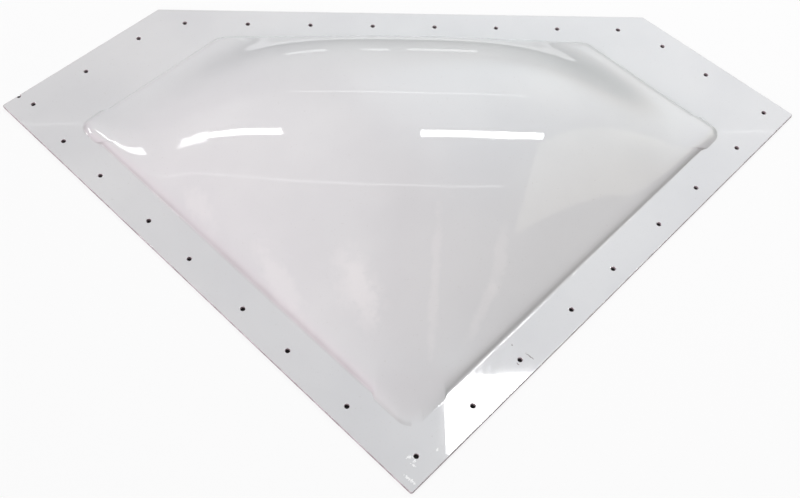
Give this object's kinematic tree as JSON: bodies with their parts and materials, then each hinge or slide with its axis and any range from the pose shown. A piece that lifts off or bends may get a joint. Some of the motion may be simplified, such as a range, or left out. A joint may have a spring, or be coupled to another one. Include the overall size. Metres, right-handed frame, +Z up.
{
  "type": "roof skylight",
  "caption": "Neo-angle roof skylight: one sheet of glossy milky-white plastic blown into a low dome, with a flat drilled flange round it for screwing to a roof.",
  "frame": {"origin": "Centre of the bounding box's bottom, on the plane of the flange's underside", "axes": "+Z up out of the roof, +X to the right wing, +Y from the square point to the front edge"},
  "size_m": [0.91, 0.6114, 0.0672],
  "materials": {
    "white_plastic": "glossy, milky and slightly translucent"
  },
  "bodies": {
    "root": {"skylight_dome": "white_plastic"}
  },
  "joints": []
}
